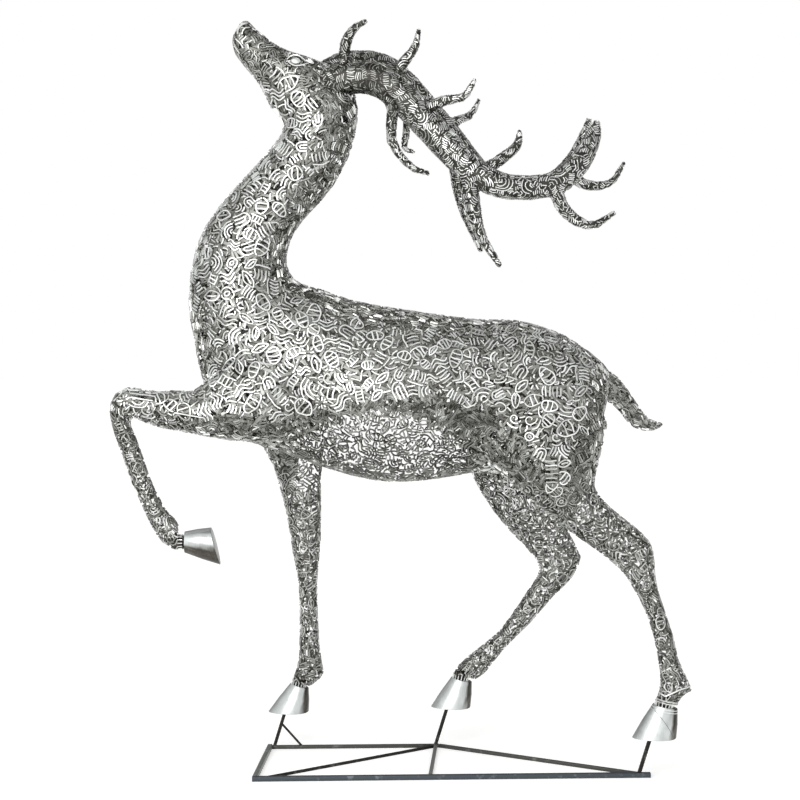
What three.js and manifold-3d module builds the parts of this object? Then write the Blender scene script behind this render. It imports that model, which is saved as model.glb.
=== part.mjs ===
// Openwork steel stag with a raised left foreleg, on a low welded ground frame.
// Millimetres, +Z up, ground at Z = 0. The stag faces -X and its left side faces -Y.

import * as THREE from 'three';
import * as BufferGeometryUtils from 'three/addons/utils/BufferGeometryUtils.js';
import Module from 'manifold-3d';

const wasm = await Module();
wasm.setup();

// Driving dimensions
const deerHeight = 2400;        // hoof soles to the top of the lifted muzzle
const soleHeight = 136;         // ground to the hoof soles
const frameWidth = 400;         // between the centre lines of the near and far rails
const railTube = 16;            // square tube of the near rail and the end bar
const slimTube = 12;            // square tube of the far rails and the cross bar
const postRod = 12;             // square rod of the posts
const diagonalRod = 9;          // square rod of the diagonal
const braceRod = 7;             // square rod of the small brace
const postLean = 17;            // degrees that the posts lean back towards the head
const endBarSkew = 34;          // how far the end bar's near end stands ahead of its far end
const endMargin = 17;           // from the middle of the end bar to the foot of the front post
const railOverhang = 38;        // near rail past the foot of the last post
const crossBarSkew = 42;        // how far the cross bar's near end stands ahead of its far end
const braceRise = 92;           // height of the brace's top on the front post
const braceReach = 100;         // foot of the brace behind the foot of the front post
const clearance = 0.3;          // gap between neighbouring pieces

// The tables of the free forms count in 240ths of the stag's height.
const share = deerHeight / 240;

const openworkSteel = { color: 0xb4b6b4, roughness: 0.35, metalness: 1 };
const darkOpenworkSteel = { color: 0x8f918f, roughness: 0.4, metalness: 1 };
const satinSheet = { color: 0xd2d6d8, roughness: 0.28, metalness: 1 };
const blackenedSteel = { color: 0x3a3d40, roughness: 0.55, metalness: 0.8 };
const greySteel = { color: 0x9aa09e, roughness: 0.45, metalness: 0.9 };

// Solids and booleans

function solidFrom(geometry) {
  const bare = geometry.clone();
  bare.deleteAttribute('normal');
  bare.deleteAttribute('uv');
  const merged = BufferGeometryUtils.mergeVertices(bare, 1e-4);
  return new wasm.Manifold(new wasm.Mesh({
    numProp: 3,
    vertProperties: Float32Array.from(merged.attributes.position.array),
    triVerts: Uint32Array.from(merged.index.array),
  }));
}

function geometryFrom(solid) {
  const mesh = solid.getMesh();
  const geometry = new THREE.BufferGeometry();
  geometry.setAttribute('position', new THREE.BufferAttribute(new Float32Array(mesh.vertProperties), 3));
  geometry.setIndex(new THREE.BufferAttribute(new Uint32Array(mesh.triVerts), 1));
  geometry.computeVertexNormals();
  return geometry;
}

const joined = (solids) => solids.reduce((whole, next) => whole.add(next));
const cutBy = (solid, cutters) => cutters.reduce((rest, cutter) => rest.subtract(cutter), solid);

function signedVolume(positions, faces) {
  let sixfold = 0;
  const corner = (index) => new THREE.Vector3().fromArray(positions, 3 * index);
  for (let i = 0; i < faces.length; i += 3) {
    sixfold += corner(faces[i]).dot(corner(faces[i + 1]).cross(corner(faces[i + 2])));
  }
  return sixfold / 6;
}

// A closed skin over rings of points, each ring with the same number of points
function skinOver(rings) {
  const sides = rings[0].length;
  const positions = rings.flat().flatMap((point) => point.toArray());
  const faces = [];
  for (let ring = 0; ring < rings.length - 1; ring += 1) {
    for (let side = 0; side < sides; side += 1) {
      const here = ring * sides + side;
      const beside = ring * sides + (side + 1) % sides;
      faces.push(here, beside, beside + sides, here, beside + sides, here + sides);
    }
  }
  const lastRing = (rings.length - 1) * sides;
  for (let side = 1; side < sides - 1; side += 1) {
    faces.push(0, side + 1, side, lastRing, lastRing + side, lastRing + side + 1);
  }
  if (signedVolume(positions, faces) < 0) faces.reverse();
  const geometry = new THREE.BufferGeometry();
  geometry.setAttribute('position', new THREE.Float32BufferAttribute(positions, 3));
  geometry.setIndex(faces);
  return geometry;
}

// Free forms
// A station is an oval slice of the figure: two facing points of its outline seen from the
// side, the place of its middle to the side, half its width, and how much wider it is on
// the first point's side (+) or the second's (-).

function slice(station, sides, grow = 0) {
  const [ax, az, bx, bz, y, halfWidth, swell = 0] = station;
  const first = new THREE.Vector3(ax, 0, az).multiplyScalar(share);
  const second = new THREE.Vector3(bx, 0, bz).multiplyScalar(share);
  const middle = first.clone().add(second).divideScalar(2);
  const arm = first.sub(middle);
  arm.setLength(arm.length() + grow);
  return Array.from({ length: sides }, (_, side) => {
    const angle = (2 * Math.PI * side) / sides;
    const across = (halfWidth * share + grow) * Math.sin(angle) * (1 + swell * Math.cos(angle));
    const point = middle.clone().addScaledVector(arm, Math.cos(angle));
    point.y = y * share + across;
    point.z += soleHeight;
    return point;
  });
}

// Stations between the given ones, on smooth curves through them
function smoothStations(stations, steps) {
  const through = (pick) => new THREE.CatmullRomCurve3(stations.map(pick));
  const firstLine = through(([ax, az]) => new THREE.Vector3(ax, 0, az));
  const secondLine = through((row) => new THREE.Vector3(row[2], 0, row[3]));
  const bodyLine = through((row) => new THREE.Vector3(row[4], row[5], row[6] ?? 0));
  const count = Math.round((stations.length - 1) * steps);
  return Array.from({ length: count + 1 }, (_, i) => {
    const a = firstLine.getPoint(i / count);
    const b = secondLine.getPoint(i / count);
    const c = bodyLine.getPoint(i / count);
    return [a.x, a.z, b.x, b.z, c.x, c.y, c.z];
  });
}

function loft(stations, sides, steps, grow = 0) {
  return solidFrom(skinOver(smoothStations(stations, steps).map((row) => slice(row, sides, grow))));
}

// The same limb on the stag's other side
const mirrored = (stations) => stations.map(([ax, az, bx, bz, y, ...rest]) => [ax, az, bx, bz, -y, ...rest]);

const trunkSides = 20;
const legSides = 12;
const hoofSides = 24;           // twice the sides of a leg, so that their rims meet

// Trunk, from the root of the tail to the chest: back line, belly line
const trunk = [
  [72.2, 121.5, 71.2, 112.5, 0, 4, 0],
  [70, 124.7, 69, 105, 0, 10, 0],
  [67, 127.5, 65.5, 96, 0, 14, 0],
  [59.4, 133, 59, 90, 0, 18, -0.05],
  [51.8, 136.8, 50, 86, 0, 19.6, -0.1],
  [40.1, 139.9, 36.2, 86.8, 0, 20, -0.12],
  [28.8, 140.2, 24.1, 87, 0, 20.4, -0.12],
  [16.4, 141.4, 13.4, 85.2, 0, 21.6, -0.12],
  [6.9, 142.8, 2.1, 84.2, 0, 22.3, -0.12],
  [-1.7, 144, -9.6, 84.8, 0, 22.3, -0.12],
  [-17, 147, -22.2, 88, 0, 21, -0.12],
  [-27.2, 150.6, -37.6, 93.4, 0, 19, -0.1],
];

// Neck, from the withers and breastbone up to the throat: nape line, front line
const neck = [
  [-34, 152.6, -52.4, 98.5, 0, 17, -0.1],
  [-37.4, 155.9, -62.6, 105.5, 0, 15.4, -0.08],
  [-38.3, 160.6, -67, 117.5, 0, 14.4, -0.06],
  [-37, 166.7, -70.2, 132.8, 0, 13.6, -0.04],
  [-33.9, 172.1, -72, 146.3, 0, 13, 0],
  [-27.1, 179.5, -69.1, 165, 0, 12, 0],
  [-22.7, 184.9, -62.6, 176.8, 0, 11, 0],
  [-18.6, 192, -54.1, 186.6, 0, 9.8, 0],
  [-15.9, 198.8, -46.9, 194.3, 0, 9, 0],
  [-14.2, 207.2, -41.4, 201.2, 0, 8.4, 0.05],
];

// Head, from the poll to the muzzle: brow line, jaw line
const head = [
  [-14.6, 214.9, -39.8, 204.6, 0, 8.2, 0.1],
  [-18.6, 221.3, -40.4, 207.3, 0, 8.2, 0.15],
  [-26, 226.6, -43.7, 211.1, 0, 8.2, 0.2],
  [-30.4, 228.4, -45.6, 215.1, 0, 7.8, 0.22],
  [-35.4, 229.8, -47.9, 219.4, 0, 6.8, 0.2],
  [-40.4, 231.8, -51.2, 223.4, 0, 5.3, 0.15],
  [-45.1, 235.1, -53.9, 226.8, 0, 4.5, 0.1],
  [-49, 238.2, -55.9, 229.7, 0, 4.2, 0.05],
  [-51, 240.2, -56.6, 233.1, 0, 3.9, 0],
  [-52.8, 240.6, -56.2, 235.6, 0, 2.6, 0],
];

const tail = [
  [68, 125, 67, 113, 0, 5.2],
  [74.5, 120.9, 73, 110.6, 0, 4.6],
  [79, 115.2, 76.8, 106.4, 0, 4],
  [82.6, 110, 80, 102.9, 0, 3.6],
  [85.6, 106.4, 84.4, 101.4, 0, 3],
  [88.2, 105.2, 88, 101.6, 0, 2.2],
  [90.8, 104.4, 90.7, 103.2, 0, 0.9],
];

// Raised left foreleg, from the shoulder round the knee to the hoof: outer line, inner line
const raisedForeleg = [
  [-45, 141, -22, 138, -6, 3],
  [-55, 129, -22.5, 116, -12.4, 7.4],
  [-65.5, 119.6, -38, 99.6, -14, 7.6],
  [-69, 116.9, -53, 99.3, -14.8, 6.8],
  [-73.5, 116.9, -64, 100.8, -15.4, 6],
  [-79, 117, -73.3, 102.9, -16, 5.2],
  [-84.5, 117, -81, 104.4, -16.5, 4.6],
  [-89.6, 118.2, -87.2, 107, -17, 4.3],
  [-95, 115.4, -88.9, 107.8, -17.2, 4.2],
  [-96.5, 109.9, -89.3, 105.4, -17.4, 4],
  [-95.5, 104.2, -87.5, 101.2, -17.6, 3.6],
  [-92.6, 95.7, -84.9, 93.5, -17.8, 3.1],
  [-90.6, 89.2, -82.9, 87.5, -18, 2.9],
  [-87.6, 82.2, -80.1, 81.8, -18.2, 2.9],
  [-84.8, 75.6, -77.8, 77.2, -18.4, 3.1],
  [-81.6, 69.4, -75, 74.4, -18.6, 3.3],
  [-78, 65.2, -73.3, 72, -18.8, 3.4],
  [-71.9, 63.1, -71.9, 70.1, -19, 3.3],
];

// Standing right foreleg: front line, back line
const standingForeleg = [
  [-45, 141, -22, 138, 6, 3],
  [-53, 127, -22.5, 116, 12.4, 7.4],
  [-53.6, 105, -25, 99, 14.2, 7],
  [-45.6, 91.8, -26.9, 87.4, 15.2, 5.8],
  [-41.5, 79, -27, 76, 16, 5],
  [-38.5, 65, -27.2, 64, 16.8, 4.4],
  [-37.3, 56, -27.8, 55.2, 17.4, 4.4],
  [-35.7, 48, -28.4, 48.2, 17.8, 3.8],
  [-35.2, 38.2, -28.5, 40, 18.3, 3.1],
  [-35.3, 28, -28, 29.2, 18.8, 3],
  [-35.4, 21, -27.5, 21, 19.2, 3.2],
  [-36.3, 15.8, -26.6, 16, 19.5, 3.7],
  [-37.2, 13, -26.4, 13.2, 19.8, 3.7],
  [-38.3, 10.3, -31.9, 8.4, 20, 3.3],
];

// The hip and thigh of a hind leg, inside the rump
const hip = [
  [34, 131, 60, 127, 6, 3],
  [23, 109.6, 69.4, 109, 12.6, 8.4],
];

// Right hind leg, under the belly: front line, back line
const rightHindleg = [
  ...hip,
  [24, 90, 67, 92.5, 14, 8.2],
  [29, 78.7, 64, 78, 15, 6.8],
  [38.3, 66, 61, 69.5, 15.8, 5.4],
  [47.9, 55.7, 60.9, 64.2, 16.6, 4.4],
  [50, 51, 65.2, 55.6, 17, 4.1],
  [48.2, 46.8, 62.4, 48.2, 17.3, 3.9],
  [45.3, 42.3, 55.4, 41, 17.7, 3.5],
  [40, 34.3, 47, 31.2, 18.1, 3.1],
  [35.6, 28.4, 40.1, 24.4, 18.5, 3],
  [28.8, 22.7, 34.3, 17.4, 19, 3.3],
  [21.6, 16.4, 31.2, 13.2, 19.6, 3.7],
  [19.2, 12, 26.5, 10.2, 20, 3.4],
];

// Left hind leg, stretched back: front line, back line
const leftHindleg = [
  ...mirrored(hip),
  [25, 95, 67.6, 96, -14, 8.4],
  [34, 87.6, 65, 86, -15, 7.4],
  [49.2, 74.4, 65.4, 82.8, -15.8, 6.1],
  [58.5, 67.3, 69.4, 78, -16.3, 5.3],
  [64.8, 63, 74.6, 73.7, -16.7, 4.8],
  [71.6, 57.6, 82.2, 67.4, -17.2, 4.4],
  [75, 54, 84.6, 62.6, -17.4, 4.2],
  [77.6, 49.8, 85, 55.6, -17.6, 4],
  [80, 45.7, 86.4, 48.6, -17.9, 3.7],
  [82.2, 40.7, 88.6, 42.2, -18.2, 3.3],
  [84.7, 32.3, 91.4, 33.7, -18.8, 3],
  [85.8, 25.9, 92.9, 26.5, -19.1, 3.1],
  [86.5, 20.4, 95, 21.6, -19.4, 3.4],
  [86.2, 16.2, 97.6, 16, -19.6, 3.8],
  [85.4, 13.6, 93.6, 13.4, -19.8, 3.6],
  [84.2, 11.4, 92.5, 9.8, -20, 3.4],
];

// Eyes and nostrils: a ball stretched along the face, set at the same place on both sides
function faceBall(x, y, z, long, high, deep, tilt) {
  const ball = new THREE.SphereGeometry(1, 10, 6);
  ball.scale(long * share, deep * share, high * share);
  ball.rotateY(THREE.MathUtils.degToRad(tilt));
  ball.translate(x * share, y * share, z * share + soleHeight);
  return solidFrom(ball);
}

const bothSides = (makeBall) => [1, -1].map(makeBall);
const eyes = bothSides((side) => faceBall(-35.2, 6.3 * side, 225.9, 2.3, 1.2, 1.3, 18));
const brows = bothSides((side) => faceBall(-34.4, 5.2 * side, 227.9, 3.4, 1, 1.7, 20));
const nostrils = bothSides((side) => faceBall(-52.8, 3.4 * side, 236.9, 2.1, 0.5, 1.1, 46));

function deerBody() {
  const flesh = joined([
    loft([...trunk, ...neck, ...head], trunkSides, 2),
    loft(tail, 10, 2),
    loft(raisedForeleg, legSides, 1.5),
    loft(standingForeleg, legSides, 1.5),
    loft(rightHindleg, legSides, 2),
    loft(leftHindleg, legSides, 1.5),
    ...brows,
    ...eyes,
  ]);
  return cutBy(flesh, nostrils);
}

// Hooves
// Each one is a closed shell of rolled sheet, from the rim under the fetlock to an
// egg-shaped sole: toe and heel seen from the side, and half the width of the sole.
const hoofSoles = {
  left_front_hoof: { leg: raisedForeleg, toe: [-60.1, 59], heel: [-63.2, 71.4] },
  right_front_hoof: { leg: standingForeleg, toe: [-46.3, 0], heel: [-31.9, 0] },
  left_hind_hoof: { leg: leftHindleg, toe: [77.2, 0], heel: [92.1, 0] },
  right_hind_hoof: { leg: rightHindleg, toe: [11.8, 1.3], heel: [26, 1.1] },
};
const soleHalfWidth = 5.4;
const toeTaper = -0.18;
const hoofBulge = 1.04;

function hoof({ leg, toe, heel }) {
  const rim = leg.at(-1);
  const sideways = rim[4];
  const fullSole = [...toe, ...heel, sideways, soleHalfWidth, toeTaper];
  const rimRing = slice(rim, hoofSides);
  const soleRing = slice(fullSole, hoofSides);
  const middle = (ring) => ring.reduce((sum, point) => sum.add(point), new THREE.Vector3())
    .divideScalar(ring.length);
  const rimMiddle = middle(rimRing);
  const away = middle(soleRing).sub(rimMiddle).normalize();
  const rimEdge = rimRing[0].clone().sub(rimRing[hoofSides / 2]);
  const rimNormal = new THREE.Vector3(rimEdge.z, 0, -rimEdge.x).normalize();
  if (rimNormal.dot(away) < 0) rimNormal.negate();
  const top = rimRing.map((point) => point.clone().addScaledVector(rimNormal, clearance));
  const waist = top.map((point, i) => {
    const halfway = point.clone().lerp(soleRing[i], 0.5);
    const out = halfway.clone().sub(rimMiddle.clone().lerp(middle(soleRing), 0.5));
    return halfway.addScaledVector(out, hoofBulge - 1);
  });
  return solidFrom(skinOver([top, waist, soleRing]));
}

// Antlers
// Each antler is a beam that leaves the poll, sweeps back over the withers and turns up
// at its end, with tines along it. A row is a point on the middle line and the radius.
const leftBeam = [
  [-27, 219.6, -3.6, 4.6],
  [-16.9, 220.8, -6, 5.6],
  [-10.2, 220.5, -8, 5.7],
  [-4.1, 217.8, -10, 5.7],
  [6.6, 206.6, -14, 5.3],
  [19.9, 191.9, -17.5, 4.8],
  [27.7, 186.2, -18.5, 4.6],
  [34.9, 183.6, -19, 4.3],
  [49.6, 184.4, -18, 4.1],
  [56, 188.6, -16.5, 4],
  [60.9, 194.8, -15, 3.6],
  [64, 201.4, -13, 2.8],
  [65.3, 206, -12, 1.2],
];
const rightBeam = [
  [-27, 222, 3.6, 4.4],
  [-20.6, 225.2, 5, 5.4],
  [-10, 226.3, 8, 5.8],
  [-2.6, 224, 10, 5.6],
  [8.1, 214, 14, 5.2],
  [20.3, 200.4, 17.4, 5],
  [25.8, 193.4, 18.4, 4.9],
  [32.6, 188.2, 19, 4.7],
  [44.9, 186, 18.4, 4.1],
  [54.6, 187.9, 17.2, 3.9],
  [61.3, 194.8, 15.4, 3.4],
  [64.8, 202.7, 13.6, 2.5],
  [66.3, 209.6, 12, 1],
];

// Tines by name: the radius at the root, then points from inside the beam to the tip
const leftTines = {
  brow: [2.3, [-18.4, 223, -6], [-18.6, 230, -8], [-16, 235.8, -11], [-11.6, 238.4, -12.5]],
  bez: [2.2, [-2.5, 221, -10.6], [1.6, 225.9, -12], [4.6, 230, -13], [5.8, 235.4, -13.5]],
  trez: [2.2, [7, 208.6, -14.6], [13.5, 211.8, -17], [20.4, 213, -19], [23.8, 218.5, -20.5]],
  back: [2.3, [26.4, 188.6, -17.6], [34.4, 194, -15.4], [38.6, 198, -13.8], [39.3, 202.6, -13]],
  throat: [2.4, [-9.4, 217.2, -11], [-3.2, 211, -15.4], [-3.4, 199, -17], [3, 190.2, -18],
    [8.8, 188, -18]],
  shoulder: [3.4, [21.4, 189, -18], [23, 177.4, -20], [25.4, 168.4, -21.6], [32, 157.6, -23]],
  rump: [2.7, [50.4, 184, -18], [53.4, 176.2, -19.2], [62, 170.8, -20.4], [70, 175.2, -20]],
};
const rightTines = {
  brow: [2, [-18.6, 227, 5.6], [-18.9, 233.4, 8], [-17, 238.2, 10.4], [-13.8, 241, 12]],
  trez: [2.1, [15.4, 206.6, 15], [20.6, 209.2, 17], [25.6, 211.6, 19.4], [28.6, 217, 20.5]],
  back: [2.3, [60, 190.4, 15.8], [66, 186.8, 15], [74, 187.4, 13], [78.5, 194.4, 11.5]],
  throat: [1.5, [2.6, 214, 12.6], [2.8, 205, 15], [2.2, 199.6, 16], [5.6, 198, 16]],
  shoulder: [3.4, [20.4, 196.6, 17], [21.8, 186, 19], [24.6, 175.4, 20.8], [29.6, 164, 22]],
};
const tipShare = 0.16;          // radius of a tine's tip against its root

function roundRing(middle, along, radius, sides) {
  const outward = new THREE.Vector3().crossVectors(along, new THREE.Vector3(0, 1, 0)).normalize();
  const aside = new THREE.Vector3().crossVectors(along, outward).normalize();
  return Array.from({ length: sides }, (_, side) => {
    const angle = (2 * Math.PI * side) / sides;
    return middle.clone()
      .addScaledVector(outward, radius * Math.cos(angle))
      .addScaledVector(aside, radius * Math.sin(angle));
  });
}

const placed = ([x, z, y]) => new THREE.Vector3(x, y, z).multiplyScalar(share)
  .add(new THREE.Vector3(0, 0, soleHeight));

function horn(points, radiusAt, sides, rings) {
  const path = new THREE.CatmullRomCurve3(points);
  return solidFrom(skinOver(Array.from({ length: rings + 1 }, (_, i) => {
    const t = i / rings;
    return roundRing(path.getPoint(t), path.getTangent(t), radiusAt(t), sides);
  })));
}

function beam(rows) {
  const radii = new THREE.CatmullRomCurve3(rows.map((row) => new THREE.Vector3(row[3], 0, 0)));
  const radiusAt = (t) => radii.getPoint(t).x * share;
  return horn(rows.map(placed), radiusAt, 10, 2 * (rows.length - 1));
}

function tine([rootRadius, ...rows]) {
  const radiusAt = (t) => rootRadius * share * (1 - (1 - tipShare) * t ** 1.8);
  return horn(rows.map(placed), radiusAt, 7, 2 * rows.length);
}

// The antler's root follows the skull with the clearance between them
const skullRoom = loft([...trunk, ...neck, ...head], trunkSides, 2, clearance);

function antler(beamRows, tines) {
  return joined([beam(beamRows), ...Object.values(tines).map(tine)]).subtract(skullRoom);
}

// Ground frame

const plan = (x, y) => new THREE.Vector3(x, y, 0);
const postSetback = 1.2 * share;    // a post stands this far ahead of the sole's middle

// Where a post's head meets the sole above it
function postHead(hoofName) {
  const { leg, toe, heel } = hoofSoles[hoofName];
  const along = (toe[0] + heel[0]) / 2 * share - postSetback;
  return new THREE.Vector3(along, leg.at(-1)[4] * share, soleHeight + Math.min(toe[1], heel[1]) * share);
}

function footUnder(hoofName, tube, side) {
  const head = postHead(hoofName);
  const lean = (head.z - tube) * Math.tan(THREE.MathUtils.degToRad(postLean));
  return plan(head.x - lean, (side * frameWidth) / 2);
}

const frontFoot = footUnder('right_front_hoof', slimTube, 1);
const middleFoot = footUnder('right_hind_hoof', slimTube, 1);
const lastFoot = footUnder('left_hind_hoof', railTube, -1);
const farCorner = plan(frontFoot.x - endMargin, frameWidth / 2);
const nearCorner = plan(farCorner.x - endBarSkew, -frameWidth / 2);
const nearStart = plan(nearCorner.x - railTube / 2, -frameWidth / 2);
const nearEnd = plan(lastFoot.x + railOverhang, -frameWidth / 2);
const farEnd = plan(middleFoot.x + slimTube, frameWidth / 2);
const rearJoint = plan(nearEnd.x - slimTube / 2, -frameWidth / 2);
const crossFoot = plan(middleFoot.x - crossBarSkew, -frameWidth / 2);

// A square bar lying on the ground; grow widens it all round, to cut its neighbours
function groundBar(start, end, tube, grow = 0) {
  const run = end.clone().sub(start);
  const bar = new THREE.BoxGeometry(run.length() + 2 * grow, tube + 2 * grow, tube + 2 * grow);
  bar.rotateZ(Math.atan2(run.y, run.x));
  bar.translate((start.x + end.x) / 2, (start.y + end.y) / 2, tube / 2);
  return solidFrom(bar);
}

// A leaning post with level ends, from the top of its bar to the sole
function post(foot, hoofName, tube, grow = 0) {
  const head = postHead(hoofName);
  const height = head.z - tube - 2 * clearance;
  const run = head.clone().sub(foot);
  const shaft = new THREE.BoxGeometry(postRod + 2 * grow, postRod + 2 * grow, height);
  shaft.applyMatrix4(new THREE.Matrix4().makeShear(0, 0, 0, 0, run.x / height, run.y / height));
  shaft.translate(foot.x + run.x / 2, foot.y + run.y / 2, tube + clearance + height / 2);
  return solidFrom(shaft);
}

// A thin rod from the front post down to the far rail behind it
function postBrace() {
  const slope = Math.tan(THREE.MathUtils.degToRad(postLean));
  const top = new THREE.Vector3(frontFoot.x + (braceRise - slimTube) * slope, frontFoot.y, braceRise);
  const foot = new THREE.Vector3(frontFoot.x + braceReach, frontFoot.y, slimTube / 2);
  const run = top.clone().sub(foot);
  const rod = new THREE.BoxGeometry(run.length(), braceRod, braceRod);
  rod.rotateY(-Math.atan2(run.z, run.x));
  rod.translate((top.x + foot.x) / 2, foot.y, (top.z + foot.z) / 2);
  return cutBy(solidFrom(rod), [
    post(frontFoot, 'right_front_hoof', slimTube, clearance),
    groundBar(farCorner, farEnd, slimTube, clearance),
  ]);
}

function groundFrame() {
  const nearRail = groundBar(nearStart, nearEnd, railTube);
  const roomForNearRail = groundBar(nearStart, nearEnd, railTube, clearance);
  const endBarEnd = farCorner.clone().add(farCorner.clone().sub(nearCorner).setLength(slimTube / 2));
  const endBar = groundBar(nearCorner, endBarEnd, railTube).subtract(roomForNearRail);
  const roomForEndBar = groundBar(nearCorner, endBarEnd, railTube, clearance);
  const farFront = groundBar(farCorner, farEnd, slimTube).subtract(roomForEndBar);
  const roomForFarFront = groundBar(farCorner, farEnd, slimTube, clearance);
  const crossBar = cutBy(groundBar(crossFoot, middleFoot, slimTube), [roomForNearRail, roomForFarFront]);
  const roomForCrossBar = groundBar(crossFoot, middleFoot, slimTube, clearance);
  const farRear = cutBy(groundBar(farEnd, rearJoint, slimTube), [roomForNearRail, roomForFarFront]);
  const diagonal = cutBy(
    groundBar(nearCorner, middleFoot, diagonalRod),
    [roomForNearRail, roomForEndBar, roomForFarFront, roomForCrossBar],
  );
  return {
    near_rail: [nearRail, blackenedSteel],
    end_bar: [endBar, greySteel],
    far_rail_front: [farFront, blackenedSteel],
    far_rail_rear: [farRear, blackenedSteel],
    cross_bar: [crossBar, greySteel],
    diagonal_bar: [diagonal, blackenedSteel],
    post_right_front: [post(frontFoot, 'right_front_hoof', slimTube), blackenedSteel],
    post_right_hind: [post(middleFoot, 'right_hind_hoof', slimTube), blackenedSteel],
    post_left_hind: [post(lastFoot, 'left_hind_hoof', railTube), blackenedSteel],
    post_brace: [postBrace(), blackenedSteel],
  };
}

// The whole sculpture

const pieces = {
  deer_body: [deerBody(), openworkSteel],
  left_antler: [antler(leftBeam, leftTines), darkOpenworkSteel],
  right_antler: [antler(rightBeam, rightTines), darkOpenworkSteel],
  ...Object.fromEntries(Object.entries(hoofSoles).map(([name, sole]) => [name, [hoof(sole), satinSheet]])),
  ...groundFrame(),
};

const sculpture = new THREE.Group();
for (const [name, [solid, finish]] of Object.entries(pieces)) {
  const mesh = new THREE.Mesh(geometryFrom(solid), new THREE.MeshStandardMaterial(finish));
  mesh.name = name;
  sculpture.add(mesh);
}

// The origin is on the ground, under the middle of the whole sculpture
const reach = new THREE.Box3().setFromObject(sculpture);
sculpture.position.set(-(reach.min.x + reach.max.x) / 2, -(reach.min.y + reach.max.y) / 2, 0);

export default sculpture;
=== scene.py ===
# Openwork steel stag on its welded ground frame. Metres, +Z up, the stag faces -X.
import math

import bpy
import numpy as np
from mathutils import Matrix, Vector
from mathutils.bvhtree import BVHTree
from mathutils.kdtree import KDTree


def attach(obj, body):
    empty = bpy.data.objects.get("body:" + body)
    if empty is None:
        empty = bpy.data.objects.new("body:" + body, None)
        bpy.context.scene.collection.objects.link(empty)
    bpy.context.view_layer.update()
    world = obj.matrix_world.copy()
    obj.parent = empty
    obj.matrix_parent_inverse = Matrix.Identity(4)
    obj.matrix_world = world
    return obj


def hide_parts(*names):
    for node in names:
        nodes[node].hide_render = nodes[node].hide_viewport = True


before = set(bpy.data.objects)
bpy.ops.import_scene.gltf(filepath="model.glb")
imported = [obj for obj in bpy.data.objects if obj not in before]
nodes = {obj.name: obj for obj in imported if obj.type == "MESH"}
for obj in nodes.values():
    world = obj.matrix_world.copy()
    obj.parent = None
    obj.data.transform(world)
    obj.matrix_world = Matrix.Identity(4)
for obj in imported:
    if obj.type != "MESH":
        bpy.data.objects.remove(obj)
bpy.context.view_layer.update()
print("frame loaded")


def selectOnly(piece):
    bpy.ops.object.select_all(action="DESELECT")
    piece.hide_set(False)
    piece.select_set(True)
    bpy.context.view_layer.objects.active = piece


def applyAll(piece):
    selectOnly(piece)
    for modifier in list(piece.modifiers):
        bpy.ops.object.modifier_apply(modifier=modifier.name)


def editAll(piece, operator, **settings):
    # uses one edit-mode tool on the whole mesh
    selectOnly(piece)
    bpy.ops.object.mode_set(mode="EDIT")
    bpy.ops.mesh.select_all(action="SELECT")
    operator(**settings)
    bpy.ops.object.mode_set(mode="OBJECT")


def softEdges(piece, width, segments, sharp):
    # rounds the edges that turn by more than so many degrees
    soft = piece.modifiers.new("soft", "BEVEL")
    soft.width = width
    soft.segments = segments
    soft.limit_method = "ANGLE"
    soft.angle_limit = math.radians(sharp)


def setTone(mesh, tones):
    # what the two stainless finishes read, from 0 for dark to 1 for polished: random smoke, and painted
    # shade where a piece is low, inner or turned from the light
    tone = mesh.attributes.new("tone", "FLOAT", "POINT")
    tone.data.foreach_set("value", tones)


def mergedCopy(nodeName, name):
    # a node's mesh comes as loose triangles, so its copy is merged first
    piece = bpy.data.objects.new(name, nodes[nodeName].data.copy())
    bpy.context.collection.objects.link(piece)
    piece.data.materials.clear()
    editAll(piece, bpy.ops.mesh.remove_doubles, threshold=0.00002)
    return piece


def linearFromHex(text):
    parts = [int(text[i:i + 2], 16) / 255 for i in (1, 3, 5)]
    return [p / 12.92 if p <= 0.04045 else ((p + 0.055) / 1.055) ** 2.4 for p in parts] + [1]


def fillRamp(ramp, stops):
    while len(ramp.elements) < len(stops):
        ramp.elements.new(0.5)
    for element, (place, colour) in zip(ramp.elements, stops):
        element.position = place
        element.color = linearFromHex(colour)


def addNode(tree, kind, settings=None, links=None):
    node = tree.nodes.new(kind)
    for name, value in (settings or {}).items():
        if name == "stops":
            fillRamp(node.color_ramp, value)
        elif isinstance(name, int) or name in node.inputs:
            node.inputs[name].default_value = value
        else:
            setattr(node, name, value)
    for name, source in (links or {}).items():
        tree.links.new(source, node.inputs[name])
    return node


def startSteel(name, metallic):
    # what every steel here has: a metal shader, and patterns that read the piece's own place
    material = bpy.data.materials.new(name)
    material.use_nodes = True
    tree = material.node_tree
    shader = tree.nodes["Principled BSDF"]
    shader.inputs["Metallic"].default_value = metallic
    place = addNode(tree, "ShaderNodeTexCoord").outputs["Object"]
    return material, tree, shader, place


def colourByTone(tree, shader, finish, pattern):
    # the mesh's tone, moved up and down by a pattern, picks the colour
    tone = addNode(tree, "ShaderNodeAttribute", {"attribute_name": "tone"}).outputs["Fac"]
    uneven = addNode(tree, "ShaderNodeMapRange", {"To Min": -finish["uneven"], "To Max": finish["uneven"]},
                     {"Value": pattern})
    mixed = addNode(tree, "ShaderNodeMath", {"operation": "ADD"}, {0: tone, 1: uneven.outputs["Result"]})
    ramp = addNode(tree, "ShaderNodeValToRGB", {"stops": finish["stops"]}, {"Fac": mixed.outputs["Value"]})
    tree.links.new(ramp.outputs["Color"], shader.inputs["Base Color"])


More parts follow.
